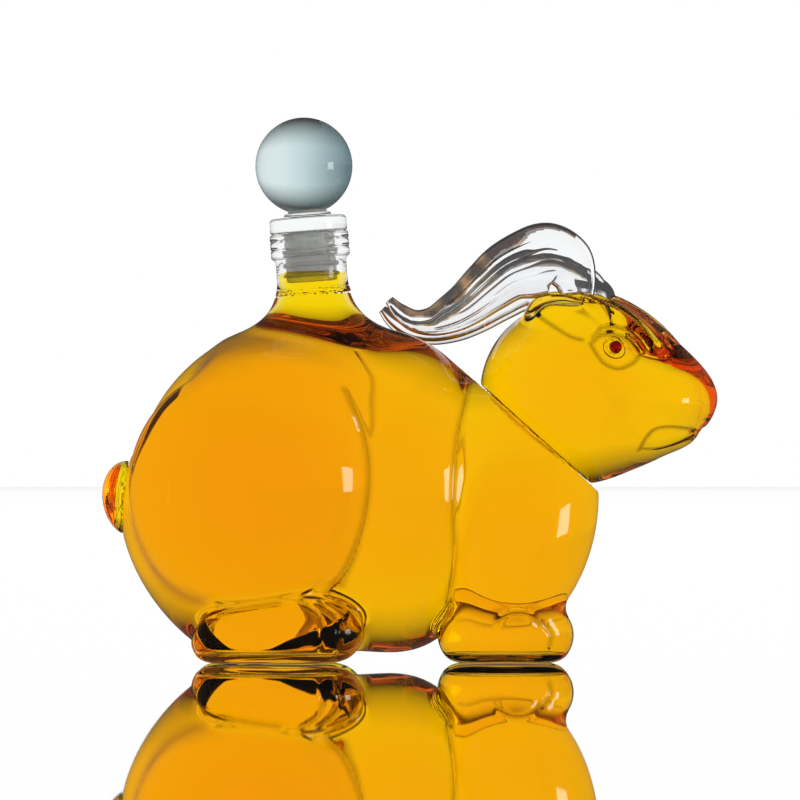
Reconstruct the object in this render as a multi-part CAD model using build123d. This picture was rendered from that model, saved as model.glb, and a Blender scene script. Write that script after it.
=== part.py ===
# Crouching rabbit liquor decanter in blown glass, with a ball stopper.
# Millimetres. +X is the way the rabbit's body faces, +Y its left side, +Z up.
# The origin lies on the table, under the middle of the decanter's length and width.
#
# The body and the head are two blown bulbs welded at a slanted seam, with a port between
# them so that both fill. The head looks a little to the rabbit's right. A heavy neck tube
# and its collar are welded to the top of the back, and the ears, the tail and the eyes are
# welded on. The stopper is a glass ball bonded to a clear cap, whose peg carries a ribbed
# sealing sleeve that fits the bore of the neck.
import os
from math import cos, radians, sin, sqrt

from build123d import *

# Glass thicknesses
WALL = 2.5
SOLE_WALL = 3.5
TAIL_WALL = 2.0

# Torso, the main bulb: every other body form is placed by shares of its size
TORSO_LENGTH = 123.8
TORSO_WIDTH = 74.0
TORSO_HEIGHT = 113.6
TORSO_LIFT = 3.7
TORSO_SET_BACK = 31.3

# The other body forms, each by its full length, width and height
BELLY_LENGTH = 58.0
BELLY_WIDTH = 71.0
BELLY_HEIGHT = 99.6
RUMP_LENGTH = 76.0
RUMP_WIDTH = 60.0
RUMP_HEIGHT = 41.0
HAUNCH_LENGTH = 82.3
HAUNCH_WIDTH = 41.0
HAUNCH_HEIGHT = 83.0
SHOULDER_LENGTH = 52.0
SHOULDER_WIDTH = 47.0
SHOULDER_HEIGHT = 84.0
FOREFOOT_LENGTH = 46.0
FOREFOOT_WIDTH = 28.0
FOREFOOT_HEIGHT = 31.0
HINDFOOT_LENGTH = 58.5
HINDFOOT_WIDTH = 30.0
HINDFOOT_HEIGHT = 29.0
NAPE_WIDTH = 53.0
NAPE_HEIGHT = 60.0
NAPE_DEPTH = 8.0

# Places of the body forms from the torso's centre, in shares of its length, width and height
BELLY_PLACE_SHARES = (0.237, 0, -0.048)
RUMP_PLACE_SHARES = (-0.3, 0, -0.227)
HAUNCH_PLACE_SHARES = (-0.181, 0.385, -0.009)
SHOULDER_PLACE_SHARES = (0.552, 0.176, -0.106)
FOREFOOT_PLACE_SHARES = (0.514, 0.23, -0.449)
HINDFOOT_PLACE_SHARES = (-0.107, 0.39, -0.453)
HEAD_PLACE_SHARES = (0.695, 0, 0.273)
NECK_PLACE_SHARES = (-0.008, 0, 0.5)
TAIL_PLACE_SHARES = (-0.5145, 0, -0.044)
RUMP_TILT = 56
HAUNCH_CLOSING = 180
SHOULDER_TILT = 12
SHOULDER_ROLL = 13
HINDFOOT_TILT = -4

# Tail: a small hollow bob with its own port through the rump
TAIL_LENGTH = 19.0
TAIL_WIDTH = 20.0
TAIL_HEIGHT = 26.0
TAIL_TILT = -10
TAIL_PORT = 9.0

# Seam between the body and the head: a slanted plane with a thick ring inside it
SEAM_TILT = 42
SEAM_PORT = 39.0
SEAM_RING = 3.0
SEAM_DEPTH = 18.6

# Head forms, in a frame where +X is the way that the head looks
HEAD_TURN = 20
SKULL_LENGTH = 62.0
SKULL_WIDTH = 59.0
SKULL_HEIGHT = 62.0
JAW_LENGTH = 44.0
JAW_WIDTH = 34.0
JAW_HEIGHT = 24.0
MUZZLE_LENGTH = 30.0
MUZZLE_WIDTH = 28.0
MUZZLE_HEIGHT = 25.0
PUFF_LENGTH = 20.0
PUFF_WIDTH = 18.0
PUFF_HEIGHT = 20.0
BRIDGE_LENGTH = 50.0
BRIDGE_WIDTH = 19.0
BRIDGE_HEIGHT = 18.0
BROW_LENGTH = 36.0
BROW_WIDTH = 11.0
BROW_HEIGHT = 13.0
NOSE_LENGTH = 9.0
NOSE_WIDTH = 11.0
NOSE_HEIGHT = 8.0
LIP_LENGTH = 22.0
LIP_WIDTH = 21.0
LIP_HEIGHT = 9.0
EAR_ROOT_LENGTH = 32.0
EAR_ROOT_WIDTH = 18.0
EAR_ROOT_HEIGHT = 20.0

# Places of the head forms from the skull's centre, in shares of its length, width and height
JAW_PLACE_SHARES = (0.323, 0, -0.153)
MUZZLE_PLACE_SHARES = (0.581, 0, -0.048)
PUFF_PLACE_SHARES = (0.645, 0.093, -0.056)
BRIDGE_PLACE_SHARES = (0.476, 0, 0.185)
BROW_PLACE_SHARES = (0.331, 0.153, 0.352)
NOSE_PLACE_SHARES = (0.75, 0, 0.04)
LIP_PLACE_SHARES = (0.54, 0, -0.255)
EAR_ROOT_PLACE_SHARES = (0.065, 0.203, 0.371)
JAW_TILT = -12
BRIDGE_TILT = 42
BROW_TILT = 35
LIP_TILT = -12
EAR_ROOT_TILT = 24

# Ears: solid leaves of clear glass that run up, over and back in an S from their roots
RIGHT_EAR_LENGTH = 63.9
LEFT_EAR_LENGTH = 74.5
LEFT_EAR_DROP = 2.6
EAR_RISE = 11.2
EAR_WIDTH = 23.4
EAR_THICKNESS = 5.0
EAR_SPLAY = 4.0
EAR_BASE_SHARES = (0.106, 0.203, 0.553)
# Each row is one section: back, up, half width and thickness, in shares of the sizes above
EAR_SECTION_SHARES = (
    (0, -0.35, 0.3, 1.0),
    (0.015, 0.36, 0.38, 1.0),
    (0.064, 0.84, 0.45, 1.0),
    (0.155, 1.0, 0.5, 1.0),
    (0.261, 0.85, 0.49, 0.95),
    (0.372, 0.61, 0.42, 0.92),
    (0.479, 0.15, 0.36, 0.88),
    (0.581, -0.33, 0.3, 0.84),
    (0.676, -0.67, 0.25, 0.8),
    (0.772, -0.89, 0.18, 0.74),
    (0.867, -0.87, 0.13, 0.66),
    (0.947, -0.58, 0.09, 0.56),
    (1.0, -0.24, 0.04, 0.45),
)
EAR_EDGE_SHARE = 0.3
EAR_SCOOP_SHARE = 0.4

# Eyes: a clear lens let into the head's wall, with a bead in its face
EYE_TURN = 36
EYE_LIFT = 30
LENS_DIAMETER = 8.6
LENS_THICKNESS = 5.6
LENS_PROUD = 1.2
BEAD_DIAMETER = 4.4
BEAD_PROUD = 0.8

# Neck, along an axis that leans back from the top of the torso
NECK_LEAN = 4.2
NECK_SEAM = 8.0
NECK_OUTER = 24.0
NECK_BORE = 15.2
NECK_LENGTH = 21.0
FLARE_RADIUS = 8.5
FLARE_TURN = 70
# Where the flare and the throat inside it run on into the torso: out and up, in shares of their
# radii at the neck
FLARE_TOE_SHARES = ((1.65, -0.33), (1.7, -1.5))
THROAT_TOE_SHARES = ((2.2, -0.8), (2.25, -2.6))
MOUTH_EDGE = 0.8
COLLAR_OUTER = 26.8
COLLAR_HEIGHT = 8.9
COLLAR_EDGE = 1.3
COLLAR_GROOVE = 0.6
COLLAR_GROOVE_SHARES = (0.36, 0.68)

# Stopper: sleeve and peg below the cap, boss, bond and ball above it
CAP_DIAMETER = 26.2
CAP_THICKNESS = 5.1
CAP_EDGE = 1.4
BOSS_DIAMETER = 16.0
BOSS_HEIGHT = 1.4
BOND_DIAMETER = 13.2
BOND_THICKNESS = 0.9
BALL_DIAMETER = 33.0
PEG_DIAMETER = 9.0
PEG_LENGTH = 15.2
SLEEVE_LENGTH = 17.3
SLEEVE_DIAMETER = 13.4
SLEEVE_EDGE = 0.8
RIB_COUNT = 4
RIB_HEIGHT = 1.6
RIB_PITCH = 3.84
FIRST_RIB = 2.9
SEAL_CLEARANCE = 0.08

# One overrun for every cut, and the reach of the half spaces that trim the bulbs
OVERRUN = 1.0
REACH = 400.0
# How far the middle of a quarter round lies inside its corner, in shares of its radius
QUARTER_ROUND_SHARE = 1 - sqrt(0.5)

torso_size = (TORSO_LENGTH, TORSO_WIDTH, TORSO_HEIGHT)
torso_centre = (-TORSO_SET_BACK, 0, TORSO_LIFT + TORSO_HEIGHT / 2)
skull_size = (SKULL_LENGTH, SKULL_WIDTH, SKULL_HEIGHT)


def at_shares(shares, side=1, centre=torso_centre, size=torso_size):
    """A point at shares of a size from a centre, on the left (1) or the right (-1)."""
    forward, out, up = (c + s * n for c, s, n in zip(centre, size, shares))
    return (forward, side * out, up)


def egg(size, skin=0, closing=0):
    """An ellipsoid of a full length, width and height, less a skin all round.

    Its surface closes on itself along a line from top to bottom, turned from the front by closing.
    """
    return scale(Rot(0, 0, closing) * Sphere(1), by=tuple(s / 2 - skin for s in size))


def half_space(plane, side):
    """Everything above (1) or below (-1) the XY plane of a frame."""
    return plane * Pos(0, 0, side * REACH / 2) * Box(REACH, REACH, REACH)


def lathe(*edges):
    """A solid of revolution about the neck's axis from a closed chain of edges in XZ."""
    return neck_frame * revolve(make_face(list(edges)), Axis.Z)


def lathe_line(*points):
    """A chain of straight edges in the XZ plane through (radius, height) points."""
    return Polyline(*[(radius, 0, height) for radius, height in points])


# Frames of the head, the seam and the neck
head_frame = Pos(*at_shares(HEAD_PLACE_SHARES)) * Rot(0, 0, -HEAD_TURN)
seam_frame = Pos(*at_shares(HEAD_PLACE_SHARES)) * Rot(0, SEAM_TILT, 0) * Pos(0, 0, -SEAM_DEPTH)
neck_frame = Pos(*at_shares(NECK_PLACE_SHARES)) * Rot(0, -NECK_LEAN, 0)
tail_frame = Pos(*at_shares(TAIL_PLACE_SHARES)) * Rot(0, TAIL_TILT, 0)
table = Pos(0, 0, 0)

# Stations of the stopper along the neck's axis
mouth_height = NECK_SEAM + NECK_LENGTH
cap_top = mouth_height + CAP_THICKNESS
boss_top = cap_top + BOSS_HEIGHT
bond_top = boss_top + BOND_THICKNESS
ball_centre = bond_top + sqrt(BALL_DIAMETER**2 - BOND_DIAMETER**2) / 2


def body_forms(skin):
    """The eggs of the body less a skin: none for its outside, the wall for its cavity."""
    middle = (
        (torso_size, (0, 0, 0), 0),
        ((BELLY_LENGTH, BELLY_WIDTH, BELLY_HEIGHT), BELLY_PLACE_SHARES, 0),
        ((RUMP_LENGTH, RUMP_WIDTH, RUMP_HEIGHT), RUMP_PLACE_SHARES, RUMP_TILT),
    )
    # Each pair with its tilt forward, its roll towards the middle and its closing line
    haunch = (HAUNCH_LENGTH, HAUNCH_WIDTH, HAUNCH_HEIGHT)
    shoulder = (SHOULDER_LENGTH, SHOULDER_WIDTH, SHOULDER_HEIGHT)
    forefoot = (FOREFOOT_LENGTH, FOREFOOT_WIDTH, FOREFOOT_HEIGHT)
    hindfoot = (HINDFOOT_LENGTH, HINDFOOT_WIDTH, HINDFOOT_HEIGHT)
    paired = (
        (haunch, HAUNCH_PLACE_SHARES, 0, 0, HAUNCH_CLOSING),
        (shoulder, SHOULDER_PLACE_SHARES, SHOULDER_TILT, SHOULDER_ROLL, 0),
        (forefoot, FOREFOOT_PLACE_SHARES, 0, 0, 0),
        (hindfoot, HINDFOOT_PLACE_SHARES, HINDFOOT_TILT, 0, 0),
    )
    eggs = []
    for size, place, tilt in middle:
        eggs.append(Pos(*at_shares(place)) * Rot(0, tilt, 0) * egg(size, skin))
    for size, place, tilt, roll, closing in paired:
        for side in (-1, 1):
            stance = Pos(*at_shares(place, side)) * Rot(side * roll, tilt, 0)
            eggs.append(stance * egg(size, skin, closing))
    nape = (NAPE_WIDTH, NAPE_WIDTH, NAPE_HEIGHT)
    eggs.append(seam_frame * Pos(0, 0, -NAPE_DEPTH) * egg(nape, skin))
    return eggs


def head_forms(skin):
    """The eggs of the head less a skin, in the head's own frame."""
    middle = [
        (skull_size, (0, 0, 0), 0),
        ((JAW_LENGTH, JAW_WIDTH, JAW_HEIGHT), JAW_PLACE_SHARES, JAW_TILT),
        ((MUZZLE_LENGTH, MUZZLE_WIDTH, MUZZLE_HEIGHT), MUZZLE_PLACE_SHARES, 0),
        ((BRIDGE_LENGTH, BRIDGE_WIDTH, BRIDGE_HEIGHT), BRIDGE_PLACE_SHARES, BRIDGE_TILT),
        ((LIP_LENGTH, LIP_WIDTH, LIP_HEIGHT), LIP_PLACE_SHARES, LIP_TILT),
    ]
    if skin == 0:
        middle.append(((NOSE_LENGTH, NOSE_WIDTH, NOSE_HEIGHT), NOSE_PLACE_SHARES, 0))
    paired = (
        ((PUFF_LENGTH, PUFF_WIDTH, PUFF_HEIGHT), PUFF_PLACE_SHARES, 0),
        ((BROW_LENGTH, BROW_WIDTH, BROW_HEIGHT), BROW_PLACE_SHARES, BROW_TILT),
        ((EAR_ROOT_LENGTH, EAR_ROOT_WIDTH, EAR_ROOT_HEIGHT), EAR_ROOT_PLACE_SHARES, EAR_ROOT_TILT),
    )
    skull = {"centre": (0, 0, 0), "size": skull_size}
    eggs = []
    for size, place, tilt in middle:
        eggs.append(Pos(*at_shares(place, **skull)) * Rot(0, tilt, 0) * egg(size, skin))
    for size, place, tilt in paired:
        for side in (-1, 1):
            eggs.append(Pos(*at_shares(place, side, **skull)) * Rot(0, tilt, 0) * egg(size, skin))
    return eggs


def flare(radius, sweep, toe_shares):
    """The trumpet from the neck down into the torso, for its outside or its bore."""
    turn = radians(FLARE_TURN)
    bend = [(radius + sweep * (1 - cos(a)), 0, NECK_SEAM - sweep * sin(a)) for a in (0, turn / 2, turn)]
    toes = [(radius * out, radius * up) for out, up in toe_shares]
    foot = [(bend[-1][0], bend[-1][2]), *toes, (0, toes[-1][1])]
    return lathe(ThreePointArc(*bend), lathe_line(*foot, (0, NECK_SEAM), (radius, NECK_SEAM)))


def outer_bulbs():
    """The outsides of the body and the head as full solids, trimmed at the table and the seam."""
    forms = body_forms(0)
    body = forms[0].fuse(*forms[1:], flare(NECK_OUTER / 2, FLARE_RADIUS, FLARE_TOE_SHARES))
    body = body - half_space(table, -1) - half_space(seam_frame, 1)
    forms = head_forms(0)
    head = head_frame * forms[0].fuse(*forms[1:]) - half_space(seam_frame, -1)
    return body, head


def inner_bulbs():
    """The cavities of the body and the head, which stop short of the soles and the seam."""
    sweep = FLARE_RADIUS + (NECK_OUTER - NECK_BORE) / 2 - WALL
    forms = body_forms(WALL)
    body = forms[0].fuse(*forms[1:], flare(NECK_BORE / 2, sweep, THROAT_TOE_SHARES))
    body = body - half_space(Pos(0, 0, SOLE_WALL), -1)
    body = body - half_space(seam_frame * Pos(0, 0, -SEAM_RING / 2), 1)
    forms = head_forms(WALL)
    head = head_frame * forms[0].fuse(*forms[1:])
    head = head - half_space(seam_frame * Pos(0, 0, SEAM_RING / 2), -1)
    return body, head


def tail_bob(body):
    """The hollow tail, cut to the rump that it is welded to, and the port through both."""
    size = (TAIL_LENGTH, TAIL_WIDTH, TAIL_HEIGHT)
    port = tail_frame * Pos(TAIL_LENGTH / 2, 0, 0) * Rot(0, 90, 0) * Cylinder(TAIL_PORT / 2, TAIL_LENGTH)
    bob = tail_frame * egg(size) - body - tail_frame * egg(size, TAIL_WALL) - port
    return bob, port


def ear_section(half_width, thickness):
    """One section of an ear: a leaf scooped on its outer side, with two rounded edges."""
    edge = thickness * EAR_EDGE_SHARE
    hollow = half_width * EAR_SCOOP_SHARE - edge
    outline = [
        ThreePointArc((half_width, edge), (half_width + edge, 0), (half_width, -edge)),
        ThreePointArc((half_width, -edge), (0, hollow), (-half_width, -edge)),
        ThreePointArc((-half_width, -edge), (-half_width - edge, 0), (-half_width, edge)),
        ThreePointArc((-half_width, edge), (0, hollow + thickness), (half_width, edge)),
    ]
    return make_face(outline)


def ear_leaf(length, side):
    """An ear of some length from its root, swept straight back and a little outwards."""
    sizes = (length, EAR_RISE, EAR_WIDTH, EAR_THICKNESS)
    rows = [[share * size for share, size in zip(row, sizes)] for row in EAR_SECTION_SHARES]
    sections = []
    for i, (back, up, half_width, thickness) in enumerate(rows):
        before = rows[max(i - 1, 0)]
        after = rows[min(i + 1, len(rows) - 1)]
        along = Vector(before[0] - after[0], 0, after[1] - before[1]).normalized()
        across = Vector(along.Z, 0, -along.X)
        origin = (-back, side * EAR_SPLAY * back / length, up)
        place = Plane(origin=origin, x_dir=-side * across, z_dir=along)
        sections.append(place * ear_section(half_width, thickness))
    return loft(sections)


def ear_root(side):
    """Where an ear's centre line starts, on top of the head."""
    return (head_frame * Pos(*at_shares(EAR_BASE_SHARES, side, (0, 0, 0), skull_size))).position


def eye(side):
    """A lens let into the head's wall on one side, and the bead in its face."""
    turned = head_frame * Rot(0, 0, side * EYE_TURN) * Rot(0, 90 - EYE_LIFT, 0)
    # How far the skull's surface lies along the way that the eye looks
    lift = radians(EYE_LIFT)
    turn = radians(EYE_TURN)
    ray = (cos(lift) * cos(turn), cos(lift) * sin(turn), sin(lift))
    reach = 1 / sqrt(sum((2 * part / size) ** 2 for part, size in zip(ray, skull_size)))
    lens_centre = reach + LENS_PROUD - LENS_THICKNESS / 2
    bead_centre = reach + LENS_PROUD + BEAD_PROUD - BEAD_DIAMETER / 2
    lens = turned * Pos(0, 0, lens_centre) * egg((LENS_DIAMETER, LENS_DIAMETER, LENS_THICKNESS))
    bead = turned * Pos(0, 0, bead_centre) * Sphere(BEAD_DIAMETER / 2)
    return lens, bead


def neck_tube():
    """The heavy tube from the seam on the flare up to the mouth, with rounded lips."""
    inner = NECK_BORE / 2
    outer = NECK_OUTER / 2
    lip = MOUTH_EDGE * QUARTER_ROUND_SHARE
    shoulder = mouth_height - MOUTH_EDGE
    edges = [
        lathe_line((inner, shoulder), (inner, NECK_SEAM), (outer, NECK_SEAM), (outer, shoulder)),
        ThreePointArc(
            (outer, 0, shoulder),
            (outer - lip, 0, mouth_height - lip),
            (outer - MOUTH_EDGE, 0, mouth_height),
        ),
        lathe_line((outer - MOUTH_EDGE, mouth_height), (inner + MOUTH_EDGE, mouth_height)),
        ThreePointArc(
            (inner + MOUTH_EDGE, 0, mouth_height),
            (inner + lip, 0, mouth_height - lip),
            (inner, 0, shoulder),
        ),
    ]
    return lathe(*edges)


def neck_collar():
    """The collar round the mouth, with two shallow grooves."""
    inner = NECK_OUTER / 2
    outer = COLLAR_OUTER / 2
    foot = mouth_height - COLLAR_HEIGHT
    points = [(inner, mouth_height - MOUTH_EDGE), (inner, foot), (outer - COLLAR_EDGE / 2, foot)]
    points.append((outer, foot + COLLAR_EDGE))
    for share in COLLAR_GROOVE_SHARES:
        middle = foot + share * COLLAR_HEIGHT
        points.append((outer, middle - COLLAR_GROOVE))
        points.append((outer - COLLAR_GROOVE, middle))
        points.append((outer, middle + COLLAR_GROOVE))
    points.append((outer, mouth_height - COLLAR_EDGE))
    points.append((outer - COLLAR_EDGE, mouth_height - MOUTH_EDGE / 2))
    return lathe(lathe_line(*points, points[0]))


def stopper_cap():
    """The clear cap that rests on the mouth, with the boss above it and the peg below it."""
    rim = CAP_DIAMETER / 2
    peg = PEG_DIAMETER / 2
    boss = BOSS_DIAMETER / 2
    curve = CAP_EDGE * QUARTER_ROUND_SHARE
    shoulder = cap_top - CAP_EDGE
    peg_foot = mouth_height - PEG_LENGTH
    edges = [
        lathe_line((0, peg_foot), (peg, peg_foot), (peg, mouth_height), (rim, mouth_height)),
        lathe_line((rim, mouth_height), (rim, shoulder)),
        ThreePointArc(
            (rim, 0, shoulder),
            (rim - curve, 0, cap_top - curve),
            (rim - CAP_EDGE, 0, cap_top),
        ),
        lathe_line((rim - CAP_EDGE, cap_top), (boss, cap_top), (boss, boss_top)),
        lathe_line((boss, boss_top), (0, boss_top), (0, peg_foot)),
    ]
    return lathe(*edges)


def seal_sleeve():
    """The sealing sleeve on the peg: a blind tube with round ribs that fill the bore."""
    core = SLEEVE_DIAMETER / 2
    crest = NECK_BORE / 2 - SEAL_CLEARANCE
    peg = PEG_DIAMETER / 2
    foot = mouth_height - SLEEVE_LENGTH
    peg_foot = mouth_height - PEG_LENGTH
    last = foot + SLEEVE_EDGE
    edges = [lathe_line((0, peg_foot), (0, foot), (core - SLEEVE_EDGE, foot), (core, last))]
    for i in range(RIB_COUNT):
        middle = foot + FIRST_RIB + i * RIB_PITCH
        low = middle - RIB_HEIGHT / 2
        high = middle + RIB_HEIGHT / 2
        edges.append(lathe_line((core, last), (core, low)))
        edges.append(ThreePointArc((core, 0, low), (crest, 0, middle), (core, 0, high)))
        last = high
    edges.append(lathe_line((core, last), (core, mouth_height), (peg, mouth_height)))
    edges.append(lathe_line((peg, mouth_height), (peg, peg_foot), (0, peg_foot)))
    return lathe(*edges)


def stopper_ball():
    """The ball, ground flat where it is bonded to the cap's boss."""
    ball = neck_frame * Pos(0, 0, ball_centre) * Sphere(BALL_DIAMETER / 2)
    return ball - half_space(neck_frame * Pos(0, 0, bond_top), -1)


def stopper_bond():
    """The disc of adhesive between the boss and the ball."""
    return neck_frame * Pos(0, 0, (boss_top + bond_top) / 2) * Cylinder(BOND_DIAMETER / 2, BOND_THICKNESS)


def decanter():
    """Every piece of the decanter by name."""
    body, head = outer_bulbs()
    body_cavity, head_cavity = inner_bulbs()
    port = seam_frame * Cylinder(SEAM_PORT / 2, SEAM_RING + 2 * OVERRUN)
    tail, tail_port = tail_bob(body)
    right_lens, right_bead = eye(-1)
    left_lens, left_bead = eye(1)
    right_ear = Pos(*ear_root(-1)) * ear_leaf(RIGHT_EAR_LENGTH, -1)
    left_ear = Pos(*ear_root(1)) * Pos(0, 0, -LEFT_EAR_DROP) * ear_leaf(LEFT_EAR_LENGTH, 1)
    return {
        "body_shell": body - body_cavity - port - tail_port,
        "head_shell": head - head_cavity - port - right_lens - left_lens,
        "tail_bob": tail,
        "neck_tube": neck_tube(),
        "neck_collar": neck_collar(),
        "ear_right": right_ear - head,
        "ear_left": left_ear - head,
        "eye_lens_right": right_lens - right_bead,
        "eye_lens_left": left_lens - left_bead,
        "eye_bead_right": right_bead,
        "eye_bead_left": left_bead,
        "stopper_cap": stopper_cap(),
        "seal_sleeve": seal_sleeve(),
        "stopper_bond": stopper_bond(),
        "stopper_ball": stopper_ball(),
    }


os.makedirs("parts", exist_ok=True)
for node, solid in decanter().items():
    export_step(solid, f"parts/{node}.step")
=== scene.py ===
from dataclasses import dataclass
from math import atan2, cos, degrees, pi, radians, sin, sqrt

import bpy
import numpy as np
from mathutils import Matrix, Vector

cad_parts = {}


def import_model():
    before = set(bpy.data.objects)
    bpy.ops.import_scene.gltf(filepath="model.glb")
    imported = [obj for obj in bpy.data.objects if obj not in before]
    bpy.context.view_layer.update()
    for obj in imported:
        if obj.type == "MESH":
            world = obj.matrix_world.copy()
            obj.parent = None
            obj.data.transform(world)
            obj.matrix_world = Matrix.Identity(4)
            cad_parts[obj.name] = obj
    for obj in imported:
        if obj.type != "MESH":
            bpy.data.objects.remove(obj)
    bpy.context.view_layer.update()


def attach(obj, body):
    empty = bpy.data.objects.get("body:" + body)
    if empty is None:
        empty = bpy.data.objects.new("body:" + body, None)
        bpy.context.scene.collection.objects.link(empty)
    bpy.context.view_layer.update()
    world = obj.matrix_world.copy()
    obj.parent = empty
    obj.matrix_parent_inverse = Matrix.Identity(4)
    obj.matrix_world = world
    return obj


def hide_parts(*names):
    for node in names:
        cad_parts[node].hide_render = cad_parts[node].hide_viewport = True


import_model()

MM = 0.001

# Glass thicknesses, and the gap between pieces that meet
WALL = 2.5
SOLE_WALL = 3.5
TAIL_WALL = 2.0
PIECE_GAP = 0.02

# How far edges are rounded: the soles outside and inside, the seam, its ring, lips, ports and the level
SOLE_ROUNDING = 3.0
SOLE_INSIDE_ROUNDING = 2.0
SEAM_ROUNDING = 1.2
RING_ROUNDING = 1.5
LIP_ROUNDING = 0.6
PORT_ROUNDING = 0.5
LEVEL_ROUNDING = 0.4

# The boxes in which blown forms are sampled, and the step of each one's grid
BODY_BOX = ((-108, -52, -2), (72, 52, 130))
HEAD_BOX = ((22, -42, 56), (108, 36, 130))
TAIL_BOX = ((-107, -12, 40), (-84, 12, 72))
LIQUOR_BOX = ((-108, -52, 0), (106, 52, 136))
BODY_STEP = 1.0
HEAD_STEP = 0.66
TAIL_STEP = 0.6
LIQUOR_STEP = 1.2

# A form is sampled on a rough grid of several steps, and exactly where that grid finds it near
ROUGH_STEPS = 4
NEAR_SURFACE = 1.6
POINTS_AT_ONCE = 400000

# How meshes are moved onto their surface and evened out, and limits that keep divisions safe
FIRST_ROUNDS = 3
RELAX_ROUNDS = 2
SETTLE_ROUNDS = 2
SLOPE_REACH = 0.02
LEAST_SLOPE = 0.05
TINY = 1e-9

# Head, seam, neck and tail places
HEAD_CENTRE = (54.7, 0.0, 91.5)
HEAD_TURN = -20.0
SEAM_TILT = 42.0
SEAM_DEPTH = 18.6
SEAM_PORT = 39.0
SEAM_RING = 3.0
NECK_ORIGIN = (-32.3, 0.0, 117.3)
NECK_LEAN = 4.2
TAIL_PORT = 9.0

# Neck and stopper, along the neck's axis
NECK_REACH = 8.0
NECK_SEAM = 8.0
NECK_OUTER = 24.0
FOOT_FLARE = 0.95
FLARE_HEIGHT = 5.0
NECK_BORE = 15.2
NECK_LENGTH = 21.0
NECK_BLEND = 14.5
MOUTH = NECK_SEAM + NECK_LENGTH
COLLAR_OUTER = 26.8
COLLAR_HEIGHT = 8.9
COLLAR_GROOVES = (0.36, 0.68)
CAP_DIAMETER = 26.2
CAP_THICKNESS = 5.1
BOSS_DIAMETER = 16.0
BOSS_HEIGHT = 1.4
BOND_DIAMETER = 13.2
BOND_THICKNESS = 0.9
BALL_DIAMETER = 32.99
PEG_DIAMETER = 9.0
PEG_LENGTH = 15.2
SLEEVE_LENGTH = 17.3
SLEEVE_DIAMETER = 13.4
RIB_COUNT = 4
RIB_HEIGHT = 1.6
RIB_PITCH = 3.84
FIRST_RIB = 2.9
SEAL_CLEARANCE = 0.08
LATHE_SEGMENTS = 160
LATHE_CREASE = 30

# Liquor: its level, and how far it reaches into the glass so that no air lies between them
LIQUOR_LEVEL = 133.0
LIQUOR_OVERLAP = 0.1

# Faces this near to a contact count as wetted or welded, or this far outside the port as the seam's own
CONTACT = 0.35
TAIL_CONTACT = 0.3
NECK_CONTACT = 0.45
BORE_CONTACT = 0.1
LENS_CONTACT = 0.1
LEVEL_CONTACT = 0.25
PORT_CLEAR = 0.3

# Refractive indices, and how often light may bounce. A real spirit has about 1.36: the lower value
# shrinks an orange glare at the nose.
GLASS_IOR = 1.47
LIQUOR_IOR = 1.28
SILICONE_IOR = 1.41
ADHESIVE_IOR = 1.5
WELDED_IOR = 1.0
LIGHT_BOUNCES = 48

# Eyes
EYE_TURN = 36.0
EYE_LIFT = 30.0
LENS_DIAMETER = 8.6
LENS_THICKNESS = 5.6
LENS_PROUD = 1.2
BEAD_DIAMETER = 4.4
BEAD_PROUD = 0.8

# Ears: leaves of clear glass, by length back from the root, height, half width and thickness
EAR_BASE = (6.6, 12.0, 34.0)
RIGHT_EAR_LENGTH = 63.9
LEFT_EAR_LENGTH = 74.5
LEFT_EAR_DROP = 2.6
EAR_RISE = 11.2
EAR_WIDTH = 21.6
EAR_THICKNESS = 5.0
EAR_SPLAY = 4.0
EAR_ROW_PARTS = 9
EAR_ROWS = [
    (0, -0.35, 0.17, 1),
    (0.015, 0.36, 0.27, 1),
    (0.064, 0.84, 0.4, 1),
    (0.155, 1, 0.5, 1),
    (0.261, 0.85, 0.49, 0.95),
    (0.372, 0.61, 0.42, 0.92),
    (0.479, 0.15, 0.36, 0.88),
    (0.581, -0.33, 0.3, 0.84),
    (0.676, -0.67, 0.25, 0.8),
    (0.772, -0.89, 0.18, 0.74),
    (0.867, -0.87, 0.13, 0.66),
    (0.947, -0.58, 0.09, 0.56),
    (1, -0.24, 0.04, 0.45),
]
EAR_EDGE_SHARE = 0.3
EAR_SCOOP_SHARE = 0.28
# The width of the painted dark rim, painted shade along an ear's upper edge
EAR_PAINTED_RIM = 3.4
EAR_GROOVE_DEPTH = 0.22
EAR_GROOVE_WIDTH = 0.4

# Places across an ear from edge to edge, and the turns of its rounded edges
EAR_ACROSS = np.linspace(1, -1, 61)
EAR_TURNS = np.radians(np.linspace(90, -90, 9))[1:-1]

# The far ear's root, narrower and sunk, up to where it is clear of the head as shares of its length
FAR_EAR_ROOT = 0.6
FAR_EAR_SINK = 5.0
FAR_EAR_CLEAR = (0.1, 0.4)

# How deep an ear may lie in the head, and in how many rounds it is lifted to that
EAR_SEAT = 0.3
EAR_SEAT_ROUNDS = 8

# The painted dark rim of an ear, painted shade along its thick upper edge: where it starts and thins out
# along the ear, by how much, and its wavering edge
EAR_PAINTED_RIM_START = (0.1, 0.3)
EAR_PAINTED_RIM_END = (0.6, 0.9)
EAR_PAINTED_RIM_THINNING = 0.5
EAR_PAINTED_RIM_WAVER = 0.3
EAR_PAINTED_RIM_WAVES = 40

# The drawn-out flow lines of an ear: the place across it at the root and its drift, and where it
# starts and ends, and how long they take to set in and to fade
EAR_FLOW_START = 0.05
EAR_FLOW_END = 0.1
EAR_FLOWS = [
    (0.62, -0.10, 0.12, 0.70),
    (0.32, -0.26, 0.09, 0.62),
    (0.02, -0.32, 0.05, 0.66),
    (-0.30, -0.24, 0.08, 0.55),
    (-0.62, -0.08, 0.10, 0.80),
]


def turn_x(angle):
    """A turn about X by an angle in degrees."""
    c, s = cos(radians(angle)), sin(radians(angle))
    return np.array([[1, 0, 0], [0, c, -s], [0, s, c]])


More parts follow.
